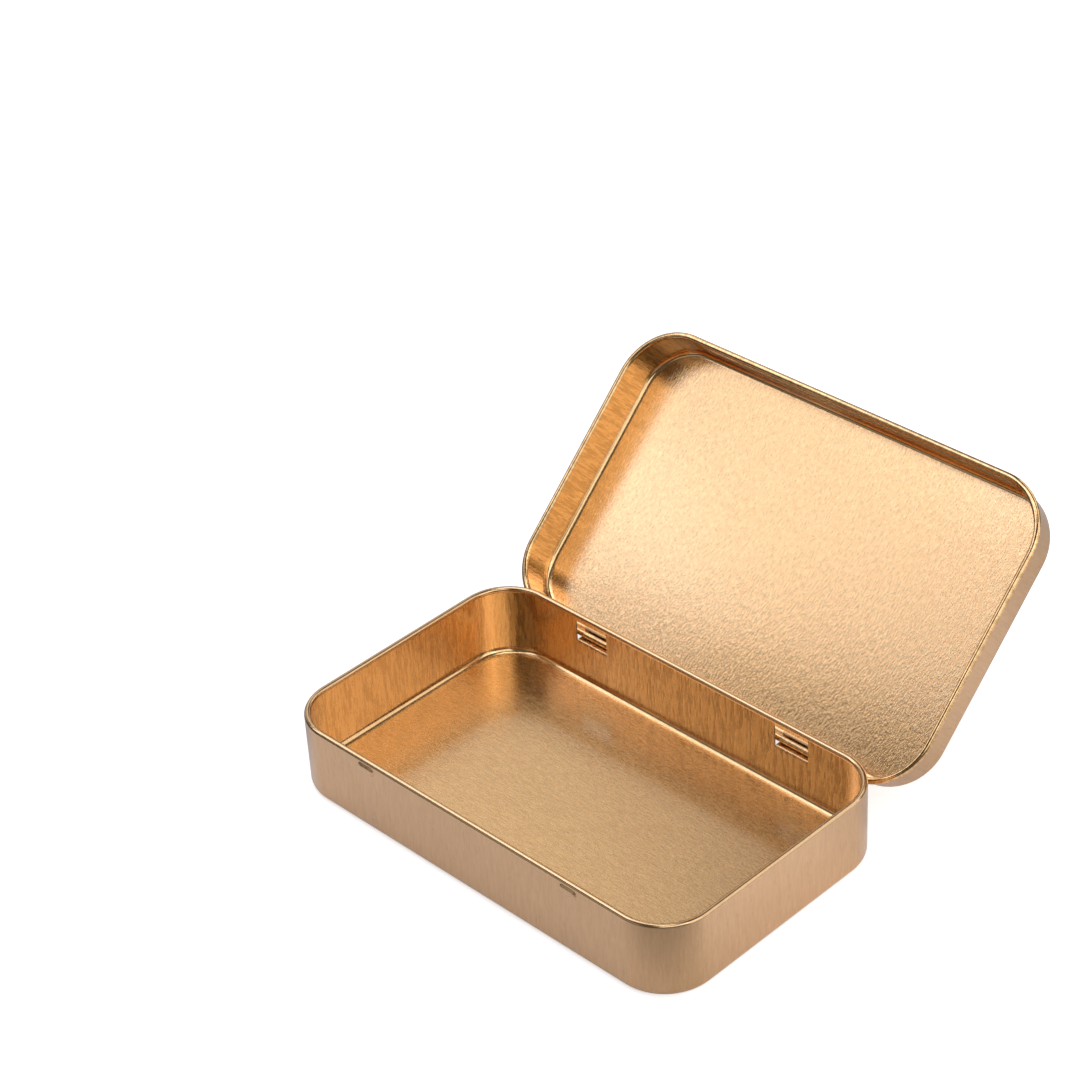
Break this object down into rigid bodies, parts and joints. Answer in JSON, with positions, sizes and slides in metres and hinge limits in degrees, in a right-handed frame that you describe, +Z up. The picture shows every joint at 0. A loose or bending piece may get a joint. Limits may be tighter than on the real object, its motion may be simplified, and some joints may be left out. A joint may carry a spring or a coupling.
{
  "type": "hinged metal tin",
  "caption": "Shallow rectangular tinplate tin with rounded corners: a drawn tray and a lid whose rolled rear bead turns in tabs bent from the tray.",
  "frame": {"origin": "on the surface that the tin stands on, below the middle of the tray", "axes": "+X along the tray's long side, +Y towards the hinge, +Z up; stored with the lid open as pictured"},
  "size_m": [0.114, 0.1228, 0.0604],
  "materials": {
    "tray_tinplate": "satin gold lacquer over tinplate, fine rolling grain",
    "lid_tinplate": "satin gold lacquer over tinplate, fine rolling grain"
  },
  "bodies": {
    "tray": {"base_tray": "tray_tinplate"},
    "lid": {"hinged_lid": "lid_tinplate"}
  },
  "joints": [
    {"name": "lid_hinge", "type": "hinge", "parent": "tray", "child": "lid", "pos_m": [0, 0.03455, 0.0114], "axis": [1, 0, 0], "range_deg": [0, 136.7]}
  ]
}
